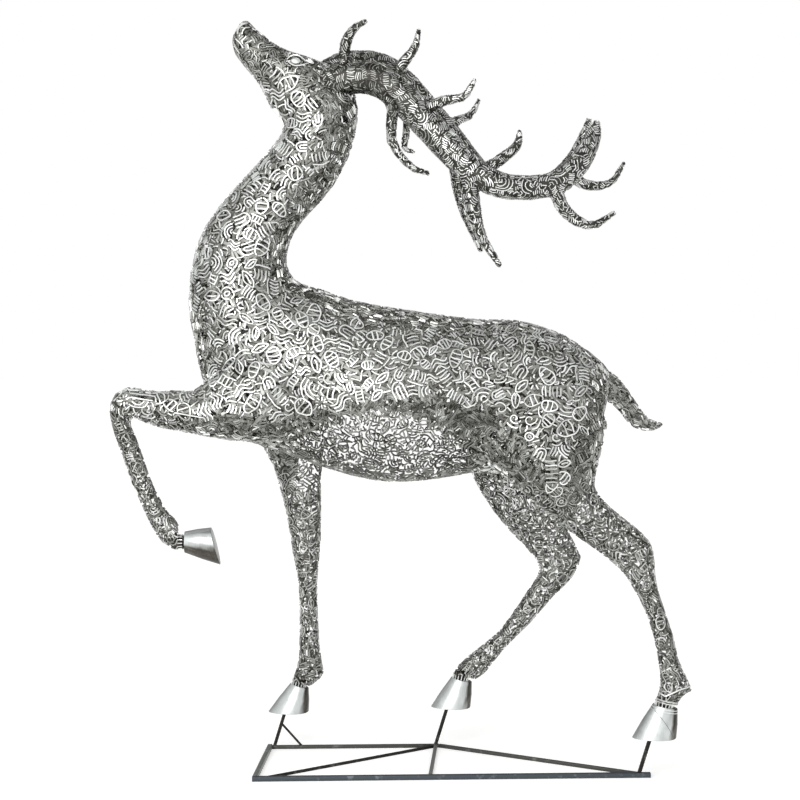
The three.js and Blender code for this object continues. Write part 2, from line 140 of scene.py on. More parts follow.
def roughen(tree, shader, finish, sheen, relief):
    # one pattern sets how rough the metal is, and one its relief
    rough = addNode(tree, "ShaderNodeMapRange", {"To Min": finish["rough"][0], "To Max": finish["rough"][1]},
                    {"Value": sheen})
    tree.links.new(rough.outputs["Result"], shader.inputs["Roughness"])
    bump = addNode(tree, "ShaderNodeBump", {"Strength": finish["bump"][0], "Distance": finish["bump"][1]},
                   {"Height": relief})
    tree.links.new(bump.outputs["Normal"], shader.inputs["Normal"])


# Welded stainless strip, wire-brushed: bright on the strokes, dark on the weld seams, with random smoky
# patches.
# The mesh holds each stroke's tone, from 0 for dark to 1 for polished; the low tones on the belly, the inner
# layer, the antler cores and the antler edges and roots are painted shade.
stripFinish = {
    "stops": [(0.0, "#1f1e1c"), (0.3, "#605f5a"), (0.6, "#a3a4a0"), (1.0, "#f6f8f6")],
    "patch": 1 / 0.035,     # smoky patches 35 mm across
    "grain": 1 / 0.0016,    # brush marks 1.6 mm apart
    "uneven": 0.18,         # how far a patch lightens or darkens a stroke
    "rough": (0.25, 0.45),
    "bump": (0.25, 0.0006),
}


def weldedStainless(name, finish):
    material, tree, shader, place = startSteel(name, 1.0)
    patch = addNode(tree, "ShaderNodeTexNoise", {"Scale": finish["patch"], "Detail": 3.0},
                    {"Vector": place})
    grain = addNode(tree, "ShaderNodeTexNoise", {"Scale": finish["grain"], "Detail": 2.0},
                    {"Vector": place})
    colourByTone(tree, shader, finish, patch.outputs["Fac"])
    roughen(tree, shader, finish, grain.outputs["Fac"], grain.outputs["Fac"])
    return material


# Rolled stainless sheet, brushed from rim to sole, so it shines in soft upright bands.
# The mesh holds its tone: darker on the raised hoof's underside and on the others' rear edges, which is
# painted shade, and swinging in soft bands round each hoof, painted reflections of its facets.
sheetFinish = {
    "stops": [(0.0, "#35332f"), (0.15, "#56534e"), (0.4, "#a2a4a2"), (0.65, "#cbd0cf"), (1.0, "#eef2f1")],
    "brush": (1 / 0.004, 1 / 0.004, 1 / 0.06),      # streaks 4 mm wide and 60 mm long
    "smoke": 1 / 0.03,      # smoky patches 30 mm across
    "uneven": 0.2,
    "rough": (0.22, 0.42),
    "bump": (0.3, 0.0008),
}


def satinSheet(name, finish):
    material, tree, shader, place = startSteel(name, 1.0)
    long = addNode(tree, "ShaderNodeMapping", {"Scale": finish["brush"]}, {"Vector": place})
    streak = addNode(tree, "ShaderNodeTexNoise", {"Scale": 1.0, "Detail": 3.0},
                     {"Vector": long.outputs["Vector"]})
    smoke = addNode(tree, "ShaderNodeTexNoise", {"Scale": finish["smoke"], "Detail": 2.0},
                    {"Vector": place})
    both = addNode(tree, "ShaderNodeMix", {"Factor": 0.5},
                   {"A": streak.outputs["Fac"], "B": smoke.outputs["Fac"]})
    colourByTone(tree, shader, finish, both.outputs["Result"])
    roughen(tree, shader, finish, both.outputs["Result"], streak.outputs["Fac"])
    return material


# Mild steel bar: mill scale and old paint, rubbed to bare metal here and there, so its dark
# faces show paler flecks.
barFinish = {
    "worn": 1 / 0.025,      # rubbed places 25 mm across
    "grit": 1 / 0.0025,     # pits 2.5 mm across, coarser than the real ones so that they show
    "rubbed": (0.35, 0.58, 0.72),
    "rough": (0.38, 0.62),
    "bump": (0.35, 0.0005),
}


def barSteel(name, scale, rubbed, finish=barFinish):
    material, tree, shader, place = startSteel(name, 0.85)
    worn = addNode(tree, "ShaderNodeTexNoise", {"Scale": finish["worn"], "Detail": 5.0}, {"Vector": place})
    grit = addNode(tree, "ShaderNodeTexNoise", {"Scale": finish["grit"], "Detail": 3.0}, {"Vector": place})
    stops = list(zip(finish["rubbed"], (scale, scale, rubbed)))
    ramp = addNode(tree, "ShaderNodeValToRGB", {"stops": stops}, {"Fac": worn.outputs["Fac"]})
    tree.links.new(ramp.outputs["Color"], shader.inputs["Base Color"])
    roughen(tree, shader, finish, grit.outputs["Fac"], grit.outputs["Fac"])
    return material


bluntTip = {"swell": 0.005, "reach": 0.1}


# the smooth skin that strokes are laid on
def guideSkin(nodeName, voxel, rounds, reach, tips=()):
    guide = mergedCopy(nodeName, nodeName + "Guide")
    source = BVHTree.FromPolygons([v.co.copy() for v in guide.data.vertices],
                                  [tuple(p.vertices) for p in guide.data.polygons])
    fuse = guide.modifiers.new("fuse", "REMESH")
    fuse.mode = "VOXEL"
    fuse.voxel_size = voxel
    ease = guide.modifiers.new("ease", "SMOOTH")
    ease.factor = 0.5
    ease.iterations = rounds
    guide.modifiers.new("split", "TRIANGULATE")
    applyAll(guide)
    # back onto the solid, except where two forms are blended
    for vertex in guide.data.vertices:
        spot, _, _, away = source.find_nearest(vertex.co)
        share = max(0.0, min(1.0, (reach - away) / (0.5 * reach)))
        vertex.co = vertex.co.lerp(spot, share)
    guide.data.update()
    skin = skinOf(guide)
    # the real tips are blunt, welded shut round a small plug
    if tips:
        away = np.min([np.linalg.norm(skin["points"] - tip, axis=1) for tip in tips], axis=0)
        swell = bluntTip["swell"] * np.clip(1 - away / bluntTip["reach"], 0, 1)
        fat = skin["points"] + skin["normals"] * swell[:, None]
        guide.data.vertices.foreach_set("co", fat.ravel())
        guide.data.update()
        skin = skinOf(guide)
    return skin


def skinOf(guide):
    mesh = guide.data
    points = np.empty(3 * len(mesh.vertices))
    normals = np.empty(3 * len(mesh.vertices))
    corners = np.empty(3 * len(mesh.polygons), dtype=int)
    mesh.vertices.foreach_get("co", points)
    mesh.vertices.foreach_get("normal", normals)
    mesh.polygons.foreach_get("vertices", corners)
    points, normals, corners = (a.reshape(-1, 3) for a in (points, normals, corners))
    sides = points[corners]
    areas = np.linalg.norm(np.cross(sides[:, 1] - sides[:, 0], sides[:, 2] - sides[:, 0]), axis=1) / 2
    tree = BVHTree.FromPolygons([Vector(p) for p in points], corners.tolist())
    return {"guide": guide, "tree": tree, "points": points, "normals": normals, "corners": corners,
            "areas": areas}


def skinNormals(skin, spots, faces):
    corners = skin["corners"][faces]
    a, b, c = (skin["points"][corners[:, k]] for k in range(3))
    whole = np.cross(b - a, c - a)
    size = np.maximum((whole ** 2).sum(1), 1e-18)
    wa = (np.cross(c - b, spots - b) * whole).sum(1) / size
    wb = (np.cross(a - c, spots - c) * whole).sum(1) / size
    weights = np.clip(np.stack([wa, wb, 1 - wa - wb], 1), 0, 1)
    normals = (skin["normals"][corners] * weights[:, :, None]).sum(1)
    return normals / np.maximum(np.linalg.norm(normals, axis=1), 1e-9)[:, None]


def ontoSkin(skin, places):
    spots = np.empty((len(places), 3))
    faces = np.empty(len(places), dtype=int)
    nearest = skin["tree"].find_nearest
    for i, place in enumerate(places):
        spots[i], _, faces[i], _ = nearest(place)
    return spots, skinNormals(skin, spots, faces)


def spread(skin, count, seed):
    rng = np.random.default_rng(seed)
    faces = rng.choice(len(skin["areas"]), size=count, p=skin["areas"] / skin["areas"].sum())
    u, v = rng.random(count), rng.random(count)
    over = u + v > 1
    u[over], v[over] = 1 - u[over], 1 - v[over]
    a, b, c = (skin["points"][skin["corners"][faces, k]] for k in range(3))
    places = a + u[:, None] * (b - a) + v[:, None] * (c - a)
    return places, skinNormals(skin, places, faces)


def thinOut(places, chosen, gap):
    # keeps chosen points no closer than the gap, first come first kept
    tree = KDTree(len(chosen))
    for i, spot in enumerate(chosen):
        tree.insert(places[spot], i)
    tree.balance()
    kept = []
    gone = np.zeros(len(chosen), dtype=bool)
    for i, spot in enumerate(chosen):
        if not gone[i]:
            kept.append(spot)
            for _, other, _ in tree.find_range(places[spot], gap):
                gone[other] = True
    return np.array(kept, dtype=int)


# A motif is a list of strokes: rows of points in millimetres on a flat patch, and whether they close.
def arc(radius, start, sweep, centre=(0, 0), squash=1.0):
    angles = start + np.linspace(0, sweep, max(4, int(abs(sweep) * radius / 3)))
    return np.stack([centre[0] + radius * np.cos(angles), centre[1] + radius * squash * np.sin(angles)], 1)


def bar(x0, y0, x1, y1, bow=0.0):
    t = np.linspace(0, 1, 9)
    sag = 4 * bow * t * (1 - t)
    return np.stack([x0 + (x1 - x0) * t - (y1 - y0) * sag, y0 + (y1 - y0) * t + (x1 - x0) * sag], 1)


def ring(long, wide, pinch=0.0):
    a = np.linspace(0, 2 * math.pi, 37)[:-1]
    return np.stack([long * np.cos(a), wide * np.sin(a) * (1 + pinch * np.cos(a))], 1)


def barredOval(rng):
    long, wide = rng.uniform(24, 37), rng.uniform(17, 24)
    strokes = [(ring(long, wide, rng.uniform(0, 0.25)), True)]
    for place in ([-0.5, 0.0, 0.5] if rng.random() < 0.5 else [-0.27, 0.3]):
        half = wide * math.sqrt(1 - place ** 2) * 0.9
        strokes.append((bar(place * long, -half, place * long, half, rng.uniform(-0.1, 0.1)), False))
    return strokes


def ringInRing(rng):
    size = rng.uniform(17, 23)
    return [(ring(size, size * 0.9), True), (ring(size * 0.42, size * 0.35), True)]


def nestedArcs(rng):
    start, sweep = rng.uniform(0, 6), rng.uniform(1.6, 3.4)
    return [(arc(9 + 12.5 * k, start + 0.1 * k, sweep * (1 - 0.1 * k)), False)
            for k in range(rng.integers(3, 5))]


def comb(rng):
    count = rng.integers(3, 7)
    long, bow = rng.uniform(14, 24), rng.uniform(-0.15, 0.15)
    strokes = []
    rib = 12.8
    for k in range(count):
        x = (k - (count - 1) / 2) * rib
        reach = long * rng.uniform(0.85, 1.1)
        strokes.append((bar(x, -reach, x + rng.uniform(-3, 3), reach, bow), False))
    if rng.random() < 0.5:
        edge = (count - 1) / 2 * rib + 6
        strokes.append((bar(-edge, long + 8, edge, long + 8, 0.08), False))
    return strokes


def waves(rng):
    half, swing, phase = rng.uniform(24, 36), rng.uniform(5, 8), rng.uniform(0, 3)
    t = np.linspace(-1, 1, 21)
    return [(np.stack([half * t, swing * np.sin(3.4 * t + phase) + (k - 1) * 13], 1), False)
            for k in range(rng.integers(2, 4))]


def nestedLoops(rng):
    long = rng.uniform(18, 28)
    strokes = []
    for width in (6, 18.5):
        top = arc(width, math.pi, -math.pi, (0, long * 0.3))
        strokes.append((np.concatenate([[[-width, -long]], top, [[width, -long]]]), False))
    return strokes


def burst(rng):
    turn, count, long = rng.uniform(0, 1), rng.integers(7, 10), rng.uniform(24, 34)
    strokes = []
    for k in range(count):
        angle = turn + k * 2 * math.pi / count
        c, s = math.cos(angle), math.sin(angle)
        near = 9 if k % 2 else 15
        strokes.append((bar(near * c, near * s, long * c, long * s, rng.uniform(-0.1, 0.2)), False))
    return strokes


def leaf(rng):
    long, bow = rng.uniform(24, 34), rng.uniform(0.2, 0.28)
    return [(bar(-long, 0, long, 0, bow), False), (bar(-long, 0, long, 0, -bow), False),
            (bar(-0.55 * long, 0, 0.55 * long, 0, 0.03), False)]


def ladder(rng):
    long, wide = rng.uniform(22, 34), rng.uniform(11, 14)
    strokes = [(bar(-long, -wide, long, -wide, 0.06), False), (bar(-long, wide, long, wide, 0.06), False)]
    for x in np.arange(-long + 9, long - 4, 13):
        strokes.append((bar(x, -wide + 2, x + 2, wide + 2), False))
    return strokes


def curl(rng):
    a = np.linspace(0, rng.uniform(5.2, 7.5), 26)
    size = 5 + 2.6 * a
    return [(np.stack([size * np.cos(a), size * np.sin(a)], 1), False),
            (arc(5 + 2.6 * a[-1] + 13, a[-1] - 1.6, 1.4), False)]


def dash(low, high, bend):
    def make(rng):
        half = rng.uniform(low, high) / 2
        return [(bar(-half, 0, half, 0, rng.uniform(-bend, bend)), False)]
    return make


def hatch(rng):
    count, long = rng.integers(4, 8), rng.uniform(8, 15)
    lean = rng.uniform(-5, 5)
    marks = [(k - (count - 1) / 2) * 7.4 for k in range(count)]
    return [(bar(x - lean, -long * rng.uniform(0.7, 1.1), x + lean, long * rng.uniform(0.7, 1.1), 0.08),
             False) for x in marks]


def chevrons(rng):
    count, long = rng.integers(2, 4), rng.uniform(8, 12)
    return [(np.array([[8.4 * k - 4, -long], [8.4 * k + 3, 0.0], [8.4 * k - 4, long]]), False)
            for k in range(count)]


boldMotifs = [(barredOval, 0.23), (ringInRing, 0.02), (nestedArcs, 0.15), (comb, 0.17), (waves, 0.11),
              (nestedLoops, 0.07), (burst, 0.05), (leaf, 0.06), (ladder, 0.06), (curl, 0.05)]
fineMotifs = [(nestedArcs, 0.3), (comb, 0.35), (waves, 0.2), (leaf, 0.15)]


def resample(rows, closed, step, least):
    loop = np.concatenate([rows, rows[:1]]) if closed else rows
    away = np.concatenate([[0], np.cumsum(np.linalg.norm(np.diff(loop[:, :3], axis=0), axis=1))])
    count = max(least, int(round(away[-1] / step)) + 1)
    marks = np.linspace(0, away[-1], count)
    if closed:
        marks = marks[:-1]
    return np.stack([np.interp(marks, away, loop[:, k]) for k in range(loop.shape[1])], 1)


laying = {"mark": 3.2, "wander": 1.1, "pace": 0.16,    # mm between points, and how they stray
          "bridge": 0.008, "level": 0.93,              # m, and the slope past which up is forward
          "crown": 0.34,                               # half a strip's crown, as a share of its width
          "through": 2.0, "acrossLeg": 0.09}           # m, how far rays go


def layMotifs(skin, places, normals, motifs, rng, plan, groupStart):
    # turns flat motifs about their places and drops them onto the skin
    makers = [maker for maker, _ in motifs]
    chances = np.array([chance for _, chance in motifs]) / sum(chance for _, chance in motifs)
    flat, counts, closed, owners = [], [], [], []
    angles = rng.uniform(0, 2 * math.pi, len(places))
    for i in range(len(places)):
        scale = rng.uniform(*plan["scale"])
        c, s = math.cos(angles[i]), math.sin(angles[i])
        for rows, isClosed in makers[rng.choice(len(makers), p=chances)](rng):
            rows = resample(rows * scale, isClosed, laying["mark"], 3)
            stray = np.sin(rows[:, ::-1] * laying["pace"] + rng.uniform(0, 6, 2))
            rows = (rows + laying["wander"] * stray) * 0.001
            flat.append(np.stack([c * rows[:, 0] - s * rows[:, 1], s * rows[:, 0] + c * rows[:, 1]], 1))
            counts.append(len(rows))
            closed.append(isClosed)
            owners.append(i)
    flat = np.concatenate(flat)
    each = np.repeat(owners, counts)
    n = normals[each]
    up = np.where(np.abs(n[:, 2:3]) > laying["level"], [[1.0, 0, 0]], [[0, 0, 1.0]])
    side = np.cross(up, n)
    side /= np.linalg.norm(side, axis=1)[:, None]
    rise = np.cross(n, side)
    spots, spotNormals = ontoSkin(skin, places[each] + side * flat[:, :1] + rise * flat[:, 1:])
    starts = np.concatenate([[0], np.cumsum(counts)[:-1]])
    strokes = []
    for a, k, isClosed, owner in zip(starts, counts, closed, owners):
        if np.linalg.norm(np.diff(spots[a:a + k], axis=0), axis=1).max() > laying["bridge"]:
            continue    # it would bridge two forms
        strokes.append({"points": spots[a:a + k], "normals": spotNormals[a:a + k], "closed": isClosed,
                        "group": groupStart + owner, "plan": plan})
    return strokes


def buttStrokes(strokes, barred=None):
    # a stroke runs on until it meets an earlier one, as strips butted and welded do
    points = np.concatenate([s["points"] for s in strokes])
    groups = np.repeat([s["group"] for s in strokes], [len(s["points"]) for s in strokes])
    shut = barred(points) if barred else np.zeros(len(points), dtype=bool)
    tree = KDTree(len(points))
    for i, point in enumerate(points):
        tree.insert(point, i)
    tree.balance()
    laid = np.zeros(len(points), dtype=bool)
    kept = []
    start = 0
    for stroke in strokes:
        count, plan = len(stroke["points"]), stroke["plan"]
        near = np.full(count, plan["room"])
        for k in range(count):
            if shut[start + k]:
                near[k] = 0
                continue
            for _, other, away in tree.find_range(points[start + k], plan["room"]):
                if laid[other] and away < near[k] and groups[other] != stroke["group"]:
                    near[k] = away
        free = near >= plan["room"]
        if free.all():
            kept.append(stroke)
            laid[start:start + count] = True
        else:
            k = 0
            while k < count:
                if not free[k]:
                    k += 1
                    continue
                first = k
                while k < count and free[k]:
                    k += 1
                last = k - 1
                for _ in range(3):
                    if first > 0 and near[first] > plan["touch"] and near[first - 1] > 0:
                        first -= 1
                    if last < count - 1 and near[last] > plan["touch"] and near[last + 1] > 0:
                        last += 1
                if (last - first) * laying["mark"] * 0.001 >= plan["shortest"]:
                    kept.append(dict(stroke, points=stroke["points"][first:last + 1],
                                     normals=stroke["normals"][first:last + 1], closed=False))
                    laid[start + first:start + last + 1] = True
        start += count
    return kept


def sweptStrokes(name, strokes, rng, material):
    # each stroke becomes a strip: a flat inside and a narrower crown
    groups = {}
    for stroke in strokes:
        plan = stroke["plan"]
        rows = np.concatenate([stroke["points"], stroke["normals"]], 1)
        rows = resample(rows, stroke["closed"], plan["step"], 2)
        groups.setdefault((len(rows), stroke["closed"], plan["sides"]), []).append((rows, plan, stroke))
    allPoints, allFaces, allTones = [], [], []
    base = 0
    for (count, closed, sides), members in sorted(groups.items(), key=lambda item: item[0]):
        points = np.stack([rows[:, :3] for rows, _, _ in members])
        normals = np.stack([rows[:, 3:] for rows, _, _ in members])
        normals /= np.maximum(np.linalg.norm(normals, axis=2), 1e-9)[:, :, None]
        wide = np.array([rng.uniform(*plan["wide"]) for _, plan, _ in members])[:, None, None]
        deep = np.array([plan["deep"] for _, plan, _ in members])[:, None, None]
        sink = np.array([rng.uniform(*plan["sink"]) for _, plan, _ in members])[:, None, None]
        tones = [stroke.get("lit", 0) + rng.normal(*plan["tone"]) for _, plan, stroke in members]
        tones = np.clip(tones, 0.02, 1.0)
        along = np.roll(points, -1, 1) - np.roll(points, 1, 1) if closed else np.gradient(points, axis=1)
        aside = np.cross(normals, along)
        aside /= np.maximum(np.linalg.norm(aside, axis=2), 1e-9)[:, :, None]
        top = points - normals * sink
        low = top - normals * deep
        if sides == 4:
            section = [low - aside * wide * 0.5, low + aside * wide * 0.5,
                       top + aside * wide * laying["crown"], top - aside * wide * laying["crown"]]
        else:
            section = [low - aside * wide * 0.5, low + aside * wide * 0.5, top]
        total = len(members) * count * sides
        index = base + np.arange(total).reshape(len(members), count, sides)
        here, after = (index, np.roll(index, -1, 1)) if closed else (index[:, :-1], index[:, 1:])
        for k in range(sides):
            j = (k + 1) % sides
            quads = np.stack([after[..., k], after[..., j], here[..., j], here[..., k]], axis=-1)
            allFaces.extend(quads.reshape(-1, 4).tolist())
        if not closed:
            allFaces.extend(index[:, 0, :].tolist())
            allFaces.extend(index[:, -1, ::-1].tolist())
        allPoints.append(np.stack(section, axis=2).reshape(-1, 3))
        allTones.append(np.repeat(tones, count * sides))
        base += total
    mesh = bpy.data.meshes.new(name)
    mesh.from_pydata(np.concatenate(allPoints), [], allFaces)
    setTone(mesh, np.concatenate(allTones))
    mesh.materials.append(material)
    mesh.update()
    piece = bpy.data.objects.new(name, mesh)
    bpy.context.collection.objects.link(piece)
    print(f"{name}: {len(strokes)} strokes, {sum(len(f) - 2 for f in allFaces)} triangles")
    return piece


def seenFrom(side, skin, x, z):
    # where a ray from the left or the right meets the skin, and its normal there
    spot, _, face, _ = skin["tree"].ray_cast(Vector((x, side, z)), Vector((0, -side, 0)), laying["through"])
    if spot is None:
        return None, None
    return np.array(spot), skinNormals(skin, np.array([spot]), np.array([face]))[0]


def traced(skin, line, side, plan, group):
    rows = resample(np.array(line), False, laying["mark"] * 0.001, 3)
    points, normals = [], []
    for x, z in rows:
        spot, normal = seenFrom(side, skin, x, z)
        if spot is not None:
            points.append(spot)
            normals.append(normal)
    return {"points": np.array(points), "normals": np.array(normals), "closed": False, "group": group,
            "plan": plan}


def castRing(skin, centre, axis, height, turns, plan, group):
    # a stroke that closes round a leg or a hoof, at a height along its axis
    middle = Vector(centre + axis * height)
    points, normals = [], []
    for way in ringWays(axis, turns):
        spot, _, _, _ = skin["tree"].ray_cast(middle, Vector(way), laying["acrossLeg"])
        if spot is not None:
            points.append(spot)
            normals.append(way)
    return {"points": np.array(points), "normals": np.array(normals), "closed": True, "group": group,
            "plan": plan}


def ringWays(axis, turns):
    side = np.cross(axis, [0, 1, 0])
    other = np.cross(axis, side)
    return [side * math.cos(turn) + other * math.sin(turn) for turn in turns]


def inside(x, z, outline):
    hit = np.zeros(len(x), dtype=bool)
    for (x0, z0), (x1, z1) in zip(outline, outline[1:] + outline[:1]):
        if z1 != z0:
            hit ^= ((z0 > z) != (z1 > z)) & (x < (x1 - x0) * (z - z0) / (z1 - z0) + x0)
    return hit


# where the body carries bold motifs, and where it stays open, seen from the side
bodyZones = {
    "neck": [(-0.42, 2.35), (-0.31, 2.27), (-0.27, 2.18), (-0.26, 2.1), (-0.29, 2.03), (-0.35, 1.97),
             (-0.4, 1.88), (-0.45, 1.81), (-0.47, 1.73), (-0.43, 1.66), (-0.39, 1.63), (-0.57, 1.6),
             (-0.74, 1.56), (-0.75, 1.77), (-0.68, 1.89), (-0.58, 1.98), (-0.52, 2.06), (-0.5, 2.16),
             (-0.48, 2.24), (-0.46, 2.31)],
    "flank": [(-0.4, 1.64), (-0.31, 1.58), (-0.21, 1.55), (-0.03, 1.5), (0.16, 1.49), (0.26, 1.51),
              (0.36, 1.52), (0.49, 1.48), (0.61, 1.43), (0.65, 1.37), (0.62, 1.28), (0.58, 1.2),
              (0.56, 1.1), (0.53, 1.01), (0.49, 0.97), (0.42, 1.14), (0.34, 1.23), (0.23, 1.26),
              (0.13, 1.3), (-0.01, 1.3), (-0.14, 1.28), (-0.26, 1.25), (-0.41, 1.22), (-0.57, 1.24),
              (-0.62, 1.3), (-0.64, 1.37), (-0.63, 1.46), (-0.66, 1.54), (-0.73, 1.57)],
    "forearm": [(-0.93, 1.32), (-0.78, 1.32), (-0.68, 1.31), (-0.62, 1.29), (-0.6, 1.25), (-0.63, 1.22),
                (-0.71, 1.22), (-0.81, 1.23), (-0.92, 1.26)],
    "belly": [(-0.36, 1.11), (-0.33, 1.16), (-0.26, 1.19), (-0.18, 1.23), (-0.04, 1.24), (0.06, 1.21),
              (0.15, 1.16), (0.23, 1.1), (0.23, 0.93), (-0.38, 0.93)],
    "cheek": [(-0.56, 2.42), (-0.48, 2.38), (-0.38, 2.37), (-0.32, 2.34), (-0.31, 2.27), (-0.42, 2.35),
              (-0.46, 2.31), (-0.5, 2.33), (-0.55, 2.38)],
}
hoofRims = {    # where each leg meets its hoof, which way the leg leaves it, and the rim's radius
    "left_front_hoof": ((-0.7293, -0.19, 0.802), (-1, 0, 0), 0.033),
    "right_front_hoof": ((-0.3616, 0.2, 0.2292), (0.285, 0, 0.959), 0.032),
    "left_hind_hoof": ((0.8729, -0.2, 0.2417), (0.189, 0, 0.982), 0.036),
    "right_hind_hoof": ((0.2179, 0.2, 0.2467), (0.239, 0, 0.971), 0.034),
}


def zoneNumbers(places):
    # 0 fine, 1 bold, 2 open, 3 legs, 4 cheeks
    x, z = places[:, 0], places[:, 2]
    zone = np.zeros(len(places), dtype=int)
    zone[z < 0.98] = 3
    zone[(x < -0.7) & (z < 1.24)] = 3
    zone[inside(x, z, bodyZones["belly"])] = 2
    for name in ("flank", "neck", "forearm"):
        zone[inside(x, z, bodyZones[name])] = 1
    zone[inside(x, z, bodyZones["cheek"]) | ((z > 2.3) & (x < -0.34) & (zone == 0))] = 4
    return zone


# lines drawn from the side: strokes along some, and bare slots along others
faceStrokes = {
    "upperLid": [(-0.385, 2.402), (-0.3746, 2.413), (-0.3612, 2.418), (-0.3446, 2.4151), (-0.3312, 2.4059),
                 (-0.3196, 2.396)],
    "lowerLid": [(-0.3813, 2.3957), (-0.3714, 2.3858), (-0.3547, 2.3793), (-0.3346, 2.3827),
                 (-0.3112, 2.3911)],
    "pad": [(-0.5509, 2.4906), (-0.5514, 2.5055), (-0.5441, 2.5187), (-0.5324, 2.527), (-0.5174, 2.5288)],
    "slotInside": [(-0.5349, 2.4891), (-0.5328, 2.5006), (-0.5251, 2.5106), (-0.5091, 2.5133)],
    "mouthUpper": [(-0.5576, 2.4741), (-0.5427, 2.461), (-0.5312, 2.4429)],
    "mouthLower": [(-0.5627, 2.4526), (-0.5545, 2.4411), (-0.5446, 2.4263)],
}
leftSideStrokes = {
    "forearmTop": [(-0.8975, 1.2957), (-0.8534, 1.2906), (-0.8159, 1.2846), (-0.8127, 1.2659)],
    "forearmMiddle": [(-0.896, 1.2825), (-0.8568, 1.2758), (-0.8242, 1.2708)],
    "forearmLow": [(-0.7564, 1.2229), (-0.7524, 1.2321), (-0.7033, 1.2228), (-0.6542, 1.2144),
                   (-0.65, 1.2018)],
    "fetlockHem": [(0.8533, 0.291), (0.8719, 0.2807), (0.9203, 0.3039), (0.9571, 0.3104)],
}
eyeball = [(-0.3755, 2.3995), (-0.3663, 2.4075), (-0.3546, 2.4105), (-0.3429, 2.4065), (-0.3348, 2.3966),
           (-0.3446, 2.3883), (-0.358, 2.3856), (-0.3697, 2.3901)]
bareSlots = [[(-0.5108, 2.5226), (-0.5307, 2.5185), (-0.5401, 2.5072), (-0.5432, 2.4923)],
             [(-0.4952, 2.5088), (-0.494, 2.508)],
             [(-0.5643, 2.4658), (-0.5511, 2.4543), (-0.5395, 2.4379)]]


keepClear = {"rimGap": 0.0125, "rimReach": 0.09, "eye": (0.0215, 0.0125), "slotHalf": 0.0048,
             "slotStep": 0.004}


def nearRims(points):
    # a thin gap stays open over each hoof
    shut = np.zeros(len(points), dtype=bool)
    for centre, axis, _ in hoofRims.values():
        away = points - np.array(centre)
        height = away @ (np.array(axis) / np.linalg.norm(axis))
        shut |= (height < keepClear["rimGap"]) & (np.linalg.norm(away, axis=1) < keepClear["rimReach"])
    return shut


def keptBare(points):
    # the eye and the slots of the nose and mouth are clear too
    shut = nearRims(points)
    flat = points[:, [0, 2]]
    middle = np.mean(eyeball, axis=0)
    shut |= np.linalg.norm((flat - middle) / keepClear["eye"], axis=1) < 1
    for slot in bareSlots:
        for place in resample(np.array(slot), False, keepClear["slotStep"], 2):
            shut |= np.linalg.norm(flat - place, axis=1) < keepClear["slotHalf"]
    return shut


def trimmed(strokes):
    # strokes of the inner layer, cut off over the hooves
    shut = nearRims(np.concatenate([stroke["points"] for stroke in strokes]))
    cuts = np.cumsum([len(stroke["points"]) for stroke in strokes])[:-1]
    for stroke, hidden in zip(strokes, np.split(shut, cuts)):
        if hidden.any():
            stroke["points"], stroke["normals"] = stroke["points"][~hidden], stroke["normals"][~hidden]
    return [stroke for stroke in strokes if len(stroke["points"]) > 2]


# A plan says how strokes are scattered and swept, in metres. A motif's scale is 1 for 60 mm ovals.
# "room" is how near an earlier stroke may be, and "touch" how near the end that is butted to it.
boldStrip = {"zone": 1, "piece": 0, "room": 0.0108, "touch": 0.0058, "sides": 4, "deep": 0.004}
cheekStrip = {"zone": 4, "piece": 1, "sides": 4, "deep": 0.0035}
legStrip = {"zone": 3, "piece": 2, "touch": 0.0047, "sides": 4, "deep": 0.004}
bellyStrip = {"zone": 2, "piece": 2, "touch": 0.0054, "sides": 4, "wide": (0.0048, 0.0060), "deep": 0.004}
fineStrip = {"zone": 0, "piece": 1, "room": 0.0088, "touch": 0.0046, "sides": 3, "wide": (0.0048, 0.0060),
             "deep": 0.0035}
